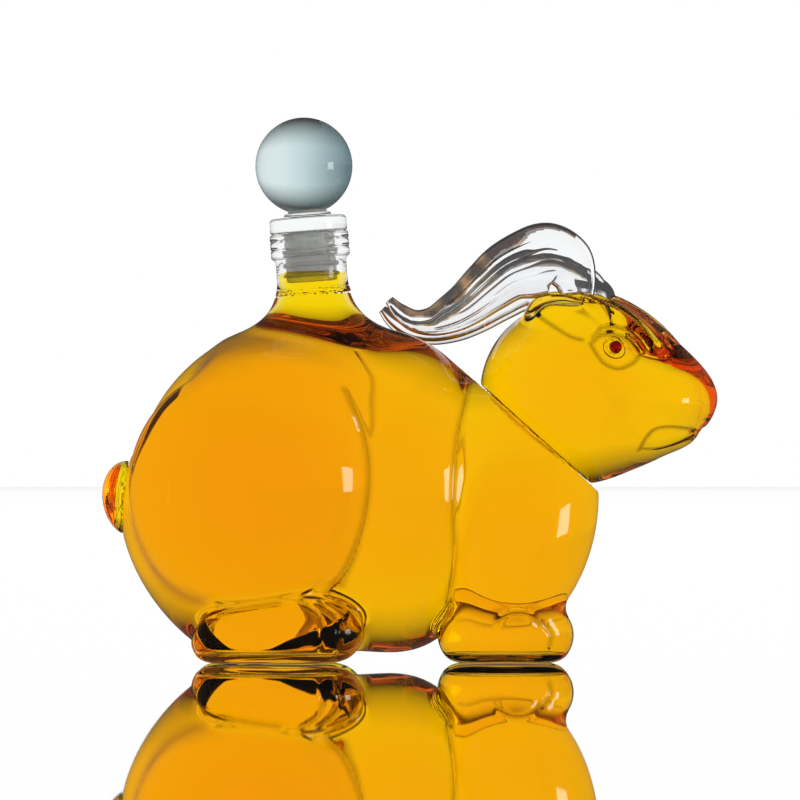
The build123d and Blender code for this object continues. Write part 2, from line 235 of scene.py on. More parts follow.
def turn_y(angle):
    """A turn about Y by an angle in degrees."""
    c, s = cos(radians(angle)), sin(radians(angle))
    return np.array([[c, 0, s], [0, 1, 0], [-s, 0, c]])


def turn_z(angle):
    """A turn about Z by an angle in degrees."""
    c, s = cos(radians(angle)), sin(radians(angle))
    return np.array([[c, -s, 0], [s, c, 0], [0, 0, 1]])


@dataclass
class Egg:
    """One blown form: its centre, full sizes, tilt forward, roll inward and blend with the rest.

    A flow above zero is the wider blend that it has towards its top, away from its crease. Extra is
    how much thicker the glass is round it.
    """

    centre: tuple
    size: tuple
    tilt: float = 0.0
    roll: float = 0.0
    blend: float = 8.0
    flow: float = 0.0
    crease: float = 1.0
    extra: float = 0.0
    paired: bool = False


BODY_EGGS = [
    Egg((-31.3, 0, 60.5), (123.8, 74, 113.6)),
    Egg((-2, 0, 55), (58, 71, 99.6), blend=14),
    Egg((-68.6, 0, 34.3), (78, 60, 44), tilt=56, blend=14),
    Egg((37.4, 0, 71.4), (53, 53, 60), tilt=SEAM_TILT, blend=12),
    Egg((-53.7, 28.47, 59.5), (82.3, 40.96, 83), blend=3.5, flow=26, paired=True),
    Egg((37, 13, 48.5), (52, 47, 84), tilt=12, roll=13, blend=3.5, flow=14, crease=-1, paired=True),
    Egg((32.3, 17, 9.5), (46, 28, 31), blend=5, paired=True),
    Egg((-44.5, 28.9, 9), (58.5, 30, 29), tilt=-4, blend=6, paired=True),
]
HEAD_EGGS = [
    Egg((0, 0, 0), (62, 59, 62)),
    Egg((18.8, 0, -10.2), (46, 38, 25), tilt=-12, blend=12),
    Egg((24, 0, -3.5), (37, 48, 33), blend=9),
    Egg((34.7, 0, -3), (30, 41, 25), blend=6),
    Egg((29.6, 0, 12.0), (50, 25, 18), tilt=42, blend=8),
    Egg((37.7, 8.5, -3.5), (20, 20, 20), blend=2.5, paired=True),
    Egg((33.3, 0, -15.8), (22, 26, 9), tilt=-12, blend=2),
    Egg((20.5, 9.3, 21.8), (36, 11, 13), tilt=35, blend=4, paired=True),
    Egg((4, 12, 23), (32, 18, 20), tilt=24, blend=6, extra=4.0, paired=True),
]
NOSE_EGG = Egg((44.8, 0, 2.5), (9, 11, 8), blend=2)
TAIL_EGG = Egg((-95.0, 0, 55.5), (19, 20, 26), tilt=-10)

# Tooled lines, as seen from the right in X and Z: painted shade, depth, half width and course
HEAD_LINES = [
    (1.0, 0.5, 0.8, [(60.9, 107.8), (63.9, 110.5), (68.0, 111.2),
                     (72.8, 109.8), (75.5, 107.4), (77.5, 104.4)]),
    (0.9, 0.3, 0.6, [(61.5, 110.2), (64.6, 112.9), (68.9, 113.9),
                     (73.8, 112.4), (77.5, 109.3), (79.9, 105.7)]),
    (1.0, 0.5, 0.8, [(77.5, 104.4), (74.8, 101.3), (70.0, 99.6), (64.9, 101.7), (60.9, 107.8)]),
    # The two brow furrows have no depth: they are painted shade only
    (1.0, 0.0, 1.1, [(68.0, 122.6), (73.1, 119.4), (77.7, 114.8), (81.0, 109.3), (82.5, 104.8)]),
    (1.0, 0.0, 1.0, [(78.2, 119.4), (82.7, 113.5), (85.9, 107.8), (90.0, 103.4)]),
    (1.0, 0.4, 0.8, [(77.5, 71.8), (79.9, 76.2), (82.9, 79.0), (88.4, 79.7), (96.0, 78.9)]),
    (0.8, 0.2, 0.8, [(44.0, 117.0), (49.0, 113.5), (54.0, 110.3), (58.0, 109.2)]),
    (0.9, 0.3, 0.7, [(77.5, 72.4), (79.5, 72.3), (83.3, 72.4), (89.1, 74.0), (95.4, 76.9)]),
]
BODY_LINES = [
    (0.6, 0.3, 1.2, [(-22.1, 92.5), (-16.3, 78.9), (-13.9, 65.3),
                     (-15.6, 48.3), (-21.4, 33.0), (-28.2, 23.8)]),
    (0.6, 0.3, 1.2, [(19.0, 90.0), (15.6, 75.5), (14.3, 55.0), (14.9, 34.7), (12.4, 20.0)]),
    (0.7, 0.5, 1.0, [(-30.5, 20.5), (-25.5, 16.6), (-23.3, 11.2), (-24.8, 5.2)]),
    (0.6, 0.4, 1.0, [(-37.0, 21.0), (-31.5, 17.4), (-29.4, 11.8), (-30.6, 5.8)]),
    (0.5, 0.3, 1.2, [(-64.0, 17.6), (-54.0, 19.2), (-44.0, 20.6)]),
    (0.5, 0.4, 1.1, [(29.0, 14.0), (34.0, 17.2), (40.0, 16.6), (43.4, 12.9)]),
    (0.6, 0.4, 1.0, [(44.6, 13.6), (47.6, 9.8), (47.0, 6.2)]),
]

# A course is smoothed into parts and carried onto the form from beside it, by a share of what is left
LINE_PARTS = 3
LINE_BESIDE = -60.0
LINE_ROUNDS = 60
LINE_SHARE = 0.8

# Where an egg's wide blend sets in, as shares of its size: up its height, and behind its crease
FLOW_UP = (0.15, 0.45)
FLOW_AHEAD = (-0.35, -0.1)
FLOW_BACK = (-0.4, -0.1)
FLOW_BEHIND = 0.25

seam_normal = turn_y(SEAM_TILT) @ np.array([0, 0, 1])
seam_point = np.array(HEAD_CENTRE) - SEAM_DEPTH * seam_normal
neck_turn = turn_y(-NECK_LEAN)
neck_axis = neck_turn @ np.array([0, 0, 1])
head_turn = turn_z(HEAD_TURN)
tail_turn = turn_y(TAIL_EGG.tilt)


# Distance fields: each takes points as rows and is negative inside its form

def smooth_least(a, b, blend):
    """The lesser of two fields, rounded over a blend where they cross."""
    h = np.maximum(blend - np.abs(a - b), 0) / blend
    return np.minimum(a, b) - h * h * blend / 4


def smooth_most(a, b, blend):
    """The greater of two fields, rounded over a blend where they cross."""
    return -smooth_least(-a, -b, blend)


def round_field(points, centre, turn, radii):
    """The distance to a turned ellipsoid."""
    local = (points - centre) @ turn / radii
    near = np.sqrt((local * local).sum(1)) + TINY
    slope = np.sqrt(((local / radii) ** 2).sum(1)) + TINY
    return near * (near - 1) / slope


def egg_field(points, egg, skin=0.0, side=1):
    """The distance to an egg less a skin, on the left (1) or the right (-1)."""
    centre = np.array([egg.centre[0], side * egg.centre[1], egg.centre[2]])
    turn = turn_x(side * egg.roll) @ turn_y(egg.tilt)
    radii = np.array(egg.size) / 2 - skin - (egg.extra if skin else 0.0)
    return round_field(points, centre, turn, radii)


def smooth_step(low, high, value):
    """Rises smoothly from 0 at low to 1 at high."""
    t = np.clip((value - low) / (high - low), 0, 1)
    return t * t * (3 - 2 * t)


def blend_at(points, egg):
    """An egg's blend: narrow at its crease, which lies in front or behind, and wide at its top."""
    if not egg.flow:
        return egg.blend
    ahead = egg.crease * (points[:, 0] - egg.centre[0]) / egg.size[0]
    up = (points[:, 2] - egg.centre[2]) / egg.size[2]
    open_top = smooth_step(*FLOW_UP, up) * smooth_step(*FLOW_AHEAD, ahead)
    behind = FLOW_BEHIND * (1 - smooth_step(*FLOW_BACK, ahead))
    return egg.blend + (egg.flow - egg.blend) * np.maximum(open_top, behind)


def blown(points, eggs, skin):
    """The distance to several eggs that flow into each other."""
    field = egg_field(points, eggs[0], skin)
    for egg in eggs[1:]:
        blend = blend_at(points, egg)
        for side in (-1, 1) if egg.paired else (1,):
            field = smooth_least(field, egg_field(points, egg, skin, side), blend)
    return field


def line_cut(points, lines, value):
    """Tooled lines' painted shade (value 0) or depth (value 1) at points."""
    cut = np.zeros(len(points))
    for line in lines:
        width, course = line[2:]
        reach = 3 * width
        low, high = course.min(0) - reach, course.max(0) + reach
        near = np.flatnonzero(((points > low) & (points < high)).all(1))
        if not len(near) or not line[value]:
            continue
        least = np.full(len(near), np.inf)
        for start, end in zip(course[:-1], course[1:]):
            span = end - start
            local = points[near] - start
            along = np.clip(local @ span / (span @ span), 0, 1)
            least = np.minimum(least, ((local - along[:, None] * span) ** 2).sum(1))
        cut[near] = np.maximum(cut[near], line[value] * np.exp(-least / (width * width)))
    return cut


def curve_through(rows, parts):
    """Rows of numbers on a smooth curve through the given rows, some parts to each gap."""
    rows = np.array(rows, float)
    padded = np.vstack([2 * rows[0] - rows[1], rows, 2 * rows[-1] - rows[-2]])
    found = []
    for i in range(len(rows) - 1):
        a, b, c, d = padded[i : i + 4]
        squared = a - 2.5 * b + 2 * c - d / 2
        cubed = 1.5 * (b - c) + (d - a) / 2
        for t in np.arange(parts) / parts:
            found.append(b + (c - a) * t / 2 + squared * t * t + cubed * t**3)
    return np.array(found + [rows[-1]])


def laid_on(form, lines, place=lambda points: points):
    """Tooled lines laid on the right side of a form, from their courses in X and Z."""
    laid = []
    for *values, course in lines:
        course = curve_through(course, LINE_PARTS)
        points = np.stack([course[:, 0], np.full(len(course), LINE_BESIDE), course[:, 1]], 1)
        for _ in range(LINE_ROUNDS):
            points[:, 1] += np.maximum(form(points), 0) * LINE_SHARE
        laid.append((*values, place(points)))
    return laid


def tube_field(points, origin, axis, radius):
    """The distance to an endless cylinder."""
    local = points - np.array(origin)
    along = local @ axis
    return np.sqrt(np.maximum((local * local).sum(1) - along * along, 0)) - radius


def above_seam(points):
    """How far points lie above the slanted seam under the head."""
    return (points - seam_point) @ seam_normal


def along_neck(points):
    """How far points lie along the neck's axis."""
    return (points - np.array(NECK_ORIGIN)) @ neck_axis


def port_field(points):
    """The port through the ring at the seam."""
    tube = tube_field(points, seam_point, seam_normal, SEAM_PORT / 2)
    return smooth_most(tube, np.abs(above_seam(points)) - SEAM_RING, PORT_ROUNDING)


def tail_port_field(points):
    """The port between the rump and the tail."""
    axis = tail_turn @ np.array([1, 0, 0])
    tube = tube_field(points, TAIL_EGG.centre, axis, TAIL_PORT / 2)
    reach = np.abs((points - np.array(TAIL_EGG.centre)) @ axis - TAIL_EGG.size[0] / 2)
    return smooth_most(tube, reach - TAIL_EGG.size[0] / 2, PORT_ROUNDING)


def mirrored(points):
    """Points with all of them brought to the right side."""
    return points * np.array([1, 0, 1]) - np.abs(points) * np.array([0, 1, 0])


def with_neck(field, points, diameter):
    """A field joined with a tube along the neck's axis, which reaches a little way into the body."""
    tube = tube_field(points, NECK_ORIGIN, neck_axis, diameter / 2)
    tube = np.maximum(tube, -NECK_REACH - along_neck(points))
    return smooth_least(field, tube, NECK_BLEND)


def body_form(points):
    """The body's outside without its tooled lines, with the flare up to the neck."""
    field = with_neck(blown(points, BODY_EGGS, 0.0), points, NECK_OUTER)
    return smooth_most(field, -points[:, 2], SOLE_ROUNDING)


def body_outside(points):
    """The body's outside with its tooled lines, before the seam is cut."""
    return body_form(points) + line_cut(mirrored(points), body_lines, 1)


def body_hollow(points):
    """The body's cavity, up the throat and the bore."""
    field = with_neck(blown(points, BODY_EGGS, WALL), points, NECK_BORE)
    field = smooth_most(field, SOLE_WALL - points[:, 2], SOLE_INSIDE_ROUNDING)
    return smooth_most(field, above_seam(points) + SEAM_RING / 2, RING_ROUNDING)


def in_head(points):
    """Points in the frame of the head, where +X is the way that it looks."""
    return (points - np.array(HEAD_CENTRE)) @ head_turn


def head_form(points):
    """The head's outside without its tooled lines."""
    local = in_head(points)
    field = blown(local, HEAD_EGGS, 0.0)
    return smooth_least(field, egg_field(local, NOSE_EGG), NOSE_EGG.blend)


def head_outside(points):
    """The head's outside with its tooled lines, before the seam is cut."""
    return head_form(points) + line_cut(mirrored(in_head(points)), head_lines, 1)


def head_hollow(points):
    """The head's cavity."""
    field = blown(in_head(points), HEAD_EGGS, WALL)
    return smooth_most(field, SEAM_RING / 2 - above_seam(points), RING_ROUNDING)


def lens_frames():
    """The centres of each eye's lens and bead, and their outward turn."""
    head = np.array(HEAD_CENTRE)
    places = []
    radii = np.array(HEAD_EGGS[0].size) / 2
    for side in (-1, 1):
        turn = turn_z(side * EYE_TURN) @ turn_y(90 - EYE_LIFT)
        ray = turn @ np.array([0, 0, 1])
        reach = 1 / sqrt(((ray / radii) ** 2).sum())
        lens = ray * (reach + LENS_PROUD - LENS_THICKNESS / 2)
        bead = ray * (reach + LENS_PROUD + BEAD_PROUD - BEAD_DIAMETER / 2)
        places.append((head + head_turn @ lens, head + head_turn @ bead, head_turn @ turn))
    return places


def lens_field(points, grow):
    """Both lenses, grown by a little."""
    radii = np.array([LENS_DIAMETER, LENS_DIAMETER, LENS_THICKNESS]) / 2 + grow
    right, left = [round_field(points, centre, turn, radii) for centre, _, turn in lens_frames()]
    return np.minimum(right, left)


def body_shell(points):
    """The body's glass."""
    field = smooth_most(body_outside(points), above_seam(points) + PIECE_GAP, SEAM_ROUNDING)
    hollow = np.minimum(body_hollow(points), port_field(points))
    hollow = np.minimum(hollow, tail_port_field(points))
    field = smooth_most(field, -hollow, LIP_ROUNDING)
    return np.maximum(field, along_neck(points) - NECK_SEAM + PIECE_GAP)


def head_shell(points):
    """The head's glass, with a hole for each lens."""
    field = smooth_most(head_outside(points), PIECE_GAP - above_seam(points), SEAM_ROUNDING)
    hollow = np.minimum(head_hollow(points), port_field(points))
    field = smooth_most(field, -hollow, LIP_ROUNDING)
    return np.maximum(field, -lens_field(points, PIECE_GAP))


def tail_hollow(points):
    """The tail's cavity."""
    return egg_field(points, TAIL_EGG, TAIL_WALL)


def tail_shell(points):
    """The tail's glass."""
    hollow = np.minimum(tail_hollow(points), tail_port_field(points))
    field = smooth_most(egg_field(points, TAIL_EGG), -hollow, LIP_ROUNDING)
    return smooth_most(field, PIECE_GAP - body_outside(points), LIP_ROUNDING)


def liquor(points):
    """The liquor, in one piece from the neck through the body and the port into the head."""
    field = np.minimum(body_hollow(points), head_hollow(points))
    tail = smooth_most(tail_hollow(points), -body_outside(points) - WALL, PORT_ROUNDING)
    for other in (port_field(points), tail_port_field(points), tail):
        field = np.minimum(field, other)
    field = field - LIQUOR_OVERLAP
    field = np.maximum(field, -lens_field(points, -LIQUOR_OVERLAP))
    return smooth_most(field, points[:, 2] - LIQUOR_LEVEL, LEVEL_ROUNDING)


body_lines = laid_on(body_form, BODY_LINES)
head_lines = laid_on(head_form, HEAD_LINES, in_head)


# Meshes from distance fields

def sample(field, low, high, step):
    """A field on a grid: exact near its surface, and only its sign further away."""
    counts = [ROUGH_STEPS * int(np.ceil((b - a) / step / ROUGH_STEPS)) for a, b in zip(low, high)]
    axes = [a + step * np.arange(n) for a, n in zip(low, counts)]
    rough_axes = [axis[::ROUGH_STEPS] + step * (ROUGH_STEPS - 1) / 2 for axis in axes]
    rough = np.stack(np.meshgrid(*rough_axes, indexing="ij"), -1).reshape(-1, 3)
    values = field(rough).reshape([len(a) for a in rough_axes])
    for axis in range(3):
        values = values.repeat(ROUGH_STEPS, axis)
    near = np.abs(values) < NEAR_SURFACE * ROUGH_STEPS * step
    fine = np.stack(np.meshgrid(*axes, indexing="ij"), -1)[near]
    parts = np.array_split(fine, len(fine) // POINTS_AT_ONCE + 1)
    values[near] = np.concatenate([field(part) for part in parts])
    return values


def surface_net(values, low, step):
    """Vertices and quads of the surface where the sampled field changes sign."""
    inside = values < 0
    halves = (slice(0, -1), slice(1, None))
    count = sum(inside[x, y, z].astype(int) for x in halves for y in halves for z in halves)
    active = (count > 0) & (count < 8)
    index = np.full(active.shape, -1)
    index[active] = np.arange(active.sum())
    vertices = np.array(low) + (np.argwhere(active) + 0.5) * step
    quads = []
    for axis in range(3):
        u, v = (axis + 1) % 3, (axis + 2) % 3
        first = np.moveaxis(inside, (axis, u, v), (0, 1, 2))
        cells = np.moveaxis(index, (axis, u, v), (0, 1, 2))
        changes = first[:-1] != first[1:]
        i, j, k = np.nonzero(changes[:, 1:-1, 1:-1])
        corners = [cells[i, j, k], cells[i, j + 1, k], cells[i, j + 1, k + 1], cells[i, j, k + 1]]
        ring = np.stack(corners, 1)
        outward = first[i, j + 1, k + 1]
        ring[~outward] = ring[~outward][:, ::-1]
        quads.append(ring)
    return vertices, np.concatenate(quads)


def slope_of(field, points):
    """A field's values and gradients at points."""
    corners = np.array([(1, 1, 1), (1, -1, -1), (-1, 1, -1), (-1, -1, 1)])
    values = [field(points + SLOPE_REACH * corner) for corner in corners]
    gradient = sum(np.outer(value, corner) for value, corner in zip(values, corners)) / (4 * SLOPE_REACH)
    return sum(values) / 4, gradient


def settle(field, points, rounds, seat=None):
    """Points moved onto a field's surface, or with a seat only those that lie deeper in it than that."""
    for _ in range(rounds):
        value, gradient = slope_of(field, points)
        if seat is not None:
            value = np.minimum(value + seat, 0)
        length_squared = np.maximum((gradient * gradient).sum(1), LEAST_SLOPE)
        points = points - (value / length_squared)[:, None] * gradient
    return points


def relax(points, quads):
    """Points moved halfway to the middle of their neighbours."""
    total = np.zeros_like(points)
    count = np.zeros(len(points))
    for a in range(4):
        for b in (a - 1, (a + 1) % 4):
            np.add.at(total, quads[:, a], points[quads[:, b]])
            np.add.at(count, quads[:, a], 1)
    return (points + total / np.maximum(count, 1)[:, None]) / 2


def placed(name, data):
    """An object in the scene, of a mesh, a camera or a light."""
    thing = bpy.data.objects.new(name, data)
    bpy.context.scene.collection.objects.link(thing)
    return thing


def small_piece(name, points, faces, crease=None):
    """A smooth mesh object from points in millimetres, sharp where it turns by more than a crease."""
    mesh = bpy.data.meshes.new(name)
    mesh.from_pydata((points * MM).tolist(), [], faces)
    mesh.update()
    mesh.shade_smooth()
    if crease:
        mesh.set_sharp_from_angle(angle=radians(crease))
    return placed(name, mesh)


def large_piece(name, points, faces, normals):
    """A mesh object from points in millimetres, rows of faces and the points' normals."""
    mesh = bpy.data.meshes.new(name)
    sides = faces.shape[1]
    mesh.vertices.add(len(points))
    mesh.vertices.foreach_set("co", (points * MM).astype(np.float32).ravel())
    mesh.loops.add(faces.size)
    mesh.loops.foreach_set("vertex_index", faces.astype(np.int32).ravel())
    mesh.polygons.add(len(faces))
    mesh.polygons.foreach_set("loop_start", np.arange(0, faces.size, sides, dtype=np.int32))
    mesh.update(calc_edges=True)
    mesh.shade_smooth()
    mesh.normals_split_custom_set_from_vertices(normals.astype(np.float32))
    return placed(name, mesh)


def sort_faces(piece, kinds):
    """Gives each face the number of the last kind, from 1, whose test its centre passes."""
    count = len(piece.data.polygons)
    centres = np.zeros(count * 3)
    piece.data.polygons.foreach_get("center", centres)
    centres = centres.reshape(-1, 3) / MM
    numbers = np.zeros(count, np.int32)
    for number, test in enumerate(kinds, 1):
        numbers[test(centres)] = number
    piece.data.polygons.foreach_set("material_index", numbers)


def mark_line_shade(piece, places, lines):
    """Marks a piece's points with how strongly the tooled lines' painted shade shows there."""
    points = np.zeros(len(piece.data.vertices) * 3)
    piece.data.vertices.foreach_get("co", points)
    shade = line_cut(places(points.reshape(-1, 3) / MM), lines, 0)
    piece.data.attributes.new("line", "FLOAT", "POINT").data.foreach_set("value", shade)


def blown_piece(name, field, box, step):
    """A mesh object of a distance field's surface."""
    low, high = box
    points, quads = surface_net(sample(field, low, high, step), low, step)
    points = settle(field, points, FIRST_ROUNDS)
    for _ in range(RELAX_ROUNDS):
        points = settle(field, relax(points, quads), SETTLE_ROUNDS)
    _, normals = slope_of(field, points)
    normals /= np.linalg.norm(normals, axis=1)[:, None]
    return large_piece(name, points, quads, normals)


def lathe_piece(name, profile, origin=NECK_ORIGIN, turn=neck_turn):
    """A turned mesh object from (radius, height) points, which start and end on the axis or close."""
    profile = np.array(profile, float)
    on_axis = profile[:, 0] < 1e-6
    angles = np.arange(LATHE_SEGMENTS) * 2 * pi / LATHE_SEGMENTS
    rings = []
    points = []
    for (radius, height), pole in zip(profile, on_axis):
        start = len(points)
        if pole:
            points.append((0, 0, height))
            rings.append(np.full(LATHE_SEGMENTS, start))
        else:
            points.extend((radius * cos(a), radius * sin(a), height) for a in angles)
            rings.append(start + np.arange(LATHE_SEGMENTS))
    upper_rings = rings[1:] if on_axis[0] else rings[1:] + rings[:1]
    faces = []
    for lower, upper in zip(rings, upper_rings):
        for i in range(LATHE_SEGMENTS):
            j = (i + 1) % LATHE_SEGMENTS
            face = dict.fromkeys([lower[i], lower[j], upper[j], upper[i]])
            faces.append([int(f) for f in face])
    turned = np.array(points) @ turn.T + np.array(origin)
    return small_piece(name, turned, faces, LATHE_CREASE)


def arc(centre, radius, start, end, count):
    """Points of a profile on an arc, with angles in degrees from outward towards up."""
    angles = np.radians(np.linspace(start, end, count + 1))
    return [(centre[0] + radius * cos(a), centre[1] + radius * sin(a)) for a in angles]


# Materials

# Colours at the surface, and those that light takes on through a piece, with their density
WHITE = (1, 1, 1)
# A dark brown painted into the tooled lines as painted shade for their grooves
LINE_PAINTED_SHADE = (0.03, 0.004, 0.0, 1)
LIQUOR_SURFACE = (1, 0.80, 0.2)
LIQUOR_TINT = (0.998, 0.973, 0.0)
LIQUOR_DENSITY = 350.0
SMOKE_TINT = (0.76, 0.89, 0.90)
SMOKE_DENSITY = 35.0
BEAD_COLOUR = (0.5, 0.02, 0.03)
BEAD_TINT = (0.7, 0.02, 0.03)
BEAD_DENSITY = 400.0
CAP_COLOUR = (0.97, 0.99, 0.99)
EAR_COLOUR = (0.97, 0.98, 0.99)
SILICONE_COLOUR = (0.86, 0.88, 0.86)
ADHESIVE_COLOUR = (0.72, 0.70, 0.62)

# The ball's painted shade, from light at its back to dark at its front
BALL_PAINTED_SHADES = (
    (0.3, WHITE),
    (0.5, (0.71, 0.78, 0.79)),
    (0.75, (0.3, 0.38, 0.4)),
    (0.95, (0.07, 0.12, 0.14)),
)
# The painted shade of the ears' rims, with streaks of painted amber light
RIM_PAINTED_SHADES = ((0.5, (0.10, 0.085, 0.08)), (0.74, (0.7, 0.42, 0.2)))

# Depths of the waves in glass and of the grain in silicone and adhesive, in metres
WAVE_DEPTH = 0.0006
GRAIN_DEPTH = 0.0001


def new_material(name):
    """A material with its node tree and its shader."""
    material = bpy.data.materials.new(name)
    material.use_nodes = True
    return material, material.node_tree, material.node_tree.nodes["Principled BSDF"]


def ramp(tree, source, stops):
    """The colours of a value, from stops that each have a place and a colour or a grey level."""
    node = tree.nodes.new("ShaderNodeValToRGB")
    elements = node.color_ramp.elements
    while len(elements) < len(stops):
        elements.new(0.5)
    for element, (place, colour) in zip(elements, stops):
        element.position = place
        element.color = (*colour, 1) if isinstance(colour, tuple) else (colour, colour, colour, 1)
    tree.links.new(source, node.inputs["Fac"])
    return node.outputs["Color"]


def mixed(tree, factor, first, second, kind="MIX"):
    """A mix of two colours, each a colour or a socket."""
    node = tree.nodes.new("ShaderNodeMix")
    node.data_type = "RGBA"
    node.blend_type = kind
    for name, source in (("Factor", factor), ("A", first), ("B", second)):
        socket = [s for s in node.inputs if s.name == name and s.enabled][0]
        if isinstance(source, bpy.types.NodeSocket):
            tree.links.new(source, socket)
        else:
            socket.default_value = source
    return [s for s in node.outputs if s.enabled][0]


def places_split(tree, kind):
    """Places on an object or in the sky, split by axis."""
    place = tree.nodes.new("ShaderNodeTexCoord")
    split = tree.nodes.new("ShaderNodeSeparateXYZ")
    tree.links.new(place.outputs[kind], split.inputs["Vector"])
    return split.outputs


def share_between(tree, source, low, high):
    """How far a value lies from a low one to a high one, as a share."""
    reach = tree.nodes.new("ShaderNodeMapRange")
    reach.inputs["From Min"].default_value = low
    reach.inputs["From Max"].default_value = high
    tree.links.new(source, reach.inputs["Value"])
    return reach.outputs["Result"]


def noise_over(tree, scale, detail=2.0):
    """Noise over an object."""
    place = tree.nodes.new("ShaderNodeTexCoord")
    noise = tree.nodes.new("ShaderNodeTexNoise")
    noise.inputs["Scale"].default_value = scale
    noise.inputs["Detail"].default_value = detail
    tree.links.new(place.outputs["Object"], noise.inputs["Vector"])
    return noise.outputs["Fac"]


def wave_bump(tree, shader, scale, strength, depth=WAVE_DEPTH):
    """The faint waviness of a blown or moulded surface."""
    bump = tree.nodes.new("ShaderNodeBump")
    bump.inputs["Strength"].default_value = strength
    bump.inputs["Distance"].default_value = depth
    tree.links.new(noise_over(tree, scale), bump.inputs["Height"])
    tree.links.new(bump.outputs["Normal"], shader.inputs["Normal"])


def set_shine(shader, colour, ior=GLASS_IOR, roughness=0.0, clearness=1.0):
    """Gives a shader its colour, refractive index, roughness and how much light goes through."""
    shader.inputs["Base Color"].default_value = (*colour, 1)
    shader.inputs["Roughness"].default_value = roughness
    shader.inputs["IOR"].default_value = ior
    shader.inputs["Transmission Weight"].default_value = clearness


def clear_glass(name, colour=WHITE, scale=45.0, strength=0.25, ior=GLASS_IOR, line_shaded=False):
    """Blown glass: clear, smooth and faintly wavy, and where asked, with painted shade in its tooled
    lines.
    """
    material, tree, shader = new_material(name)
    set_shine(shader, colour, ior)
    if line_shaded:
        # The line mark sets how far painted shade darkens the colour
        lines = tree.nodes.new("ShaderNodeAttribute")
        lines.attribute_name = "line"
        shade = mixed(tree, lines.outputs["Fac"], (*colour, 1), LINE_PAINTED_SHADE)
        tree.links.new(shade, shader.inputs["Base Color"])
    wave_bump(tree, shader, scale, strength)
    return material


def tinted(material, colour, density):
    """A material with the colour that light takes on its way through a solid piece."""
    tree = material.node_tree
    volume = tree.nodes.new("ShaderNodeVolumeAbsorption")
    volume.inputs["Color"].default_value = (*colour, 1)
    volume.inputs["Density"].default_value = density
    tree.links.new(volume.outputs["Volume"], tree.nodes["Material Output"].inputs["Volume"])
    return material


def liquor_material(name, ior):
    """Amber liquor: clear, and a deeper orange the further light goes through it."""
    material, _, shader = new_material(name)
    set_shine(shader, LIQUOR_SURFACE, ior)
    return tinted(material, LIQUOR_TINT, LIQUOR_DENSITY)


def smoke_glass():
    """Smoky blue-grey glass of the ball, with painted shade that darkens it towards its front."""
    material = tinted(clear_glass("smoke_glass", WHITE, 30.0, 0.05), SMOKE_TINT, SMOKE_DENSITY)
    tree = material.node_tree
    radius = BALL_DIAMETER / 2
    middle = -(MOUTH + CAP_THICKNESS + radius) * sin(radians(NECK_LEAN)) + NECK_ORIGIN[0]
    x = places_split(tree, "Object")["X"]
    share = share_between(tree, x, (middle - radius) * MM, (middle + radius) * MM)
    # Painted shade in the base colour: light at the ball's back and dark at its front, along X
    tree.links.new(ramp(tree, share, BALL_PAINTED_SHADES), tree.nodes["Principled BSDF"].inputs["Base Color"])
    return material


def painted_rim_glass(name):
    """Glass along the thick upper edge of an ear, painted dark with streaks of amber: painted shade with
    painted amber light.
    """
    material, tree, shader = new_material(name)
    shade = ramp(tree, noise_over(tree, 120.0, 3.0), RIM_PAINTED_SHADES)
    tree.links.new(shade, shader.inputs["Base Color"])
    shader.inputs["Roughness"].default_value = 0.0
    shader.inputs["IOR"].default_value = GLASS_IOR
    shader.inputs["Transmission Weight"].default_value = 1.0
    return material


def silicone_material():
    """Grey translucent silicone of the seal."""
    material, tree, shader = new_material("grey_silicone")
    set_shine(shader, SILICONE_COLOUR, SILICONE_IOR, roughness=0.35, clearness=0.7)
    wave_bump(tree, shader, 600.0, 0.2, GRAIN_DEPTH)
    return material


def adhesive_material():
    """Cream adhesive between the boss and the ball."""
    material, tree, shader = new_material("cream_adhesive")
    set_shine(shader, ADHESIVE_COLOUR, ADHESIVE_IOR, roughness=0.3, clearness=0.4)
    wave_bump(tree, shader, 900.0, 0.3, GRAIN_DEPTH)
    return material


# Pieces

def finish_piece(piece, materials, body, slot, *nodes):
    """Gives a piece its materials and its body, and hides the nodes that it stands for; its slot is not
    used.
    """
    for material in materials:
        piece.data.materials.append(material)
    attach(piece, body)
    if nodes:
        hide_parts(*nodes)


def neck_profile():
    """The neck tube and its collar as one turned profile."""
    inner, outer, rim = NECK_BORE / 2, NECK_OUTER / 2, COLLAR_OUTER / 2
    foot = MOUTH - COLLAR_HEIGHT
    points = [(inner, NECK_SEAM)]
    for share in np.linspace(0, 1, 6):
        points.append((outer + FOOT_FLARE * (1 - share) ** 2, NECK_SEAM + FLARE_HEIGHT * share))
    points += [(outer, foot - 1.0)]
    points += [(outer + 0.4, foot - 0.25)]
    points += arc((rim - 1.0, foot + 1.0), 1.0, -90, 0, 6)
    for share in COLLAR_GROOVES:
        middle = foot + share * COLLAR_HEIGHT
        points += [(rim, middle - 0.5), (rim - 0.1, middle - 0.3), (rim - 0.3, middle)]
        points += [(rim - 0.1, middle + 0.3), (rim, middle + 0.5)]
    points += arc((rim - 1.3, MOUTH - 1.35), 1.3, 0, 90, 6)
    points += [(outer - 0.8, MOUTH - PIECE_GAP)]
    points += arc((inner + 0.8, MOUTH - 0.82), 0.8, 90, 180, 6)
    return points


def cap_profile():
    """The cap with its boss and its peg."""
    rim, boss, peg = CAP_DIAMETER / 2, BOSS_DIAMETER / 2, PEG_DIAMETER / 2
    top = MOUTH + CAP_THICKNESS
    foot = MOUTH - PEG_LENGTH
    points = [(0, foot), (peg - 0.3, foot), (peg - 0.05, foot + 0.3), (peg - 0.05, MOUTH)]
    points += arc((rim - 0.5, MOUTH + 0.5), 0.5, -90, 0, 4)
    points += arc((rim - 1.4, top - 1.4), 1.4, 0, 90, 8)
    points += [(boss + 0.5, top), (boss + 0.1, top + 0.2), (boss, top + 0.6)]
    points += arc((boss - 0.4, top + BOSS_HEIGHT - 0.4), 0.4, 0, 90, 4)
    return points + [(0, top + BOSS_HEIGHT)]


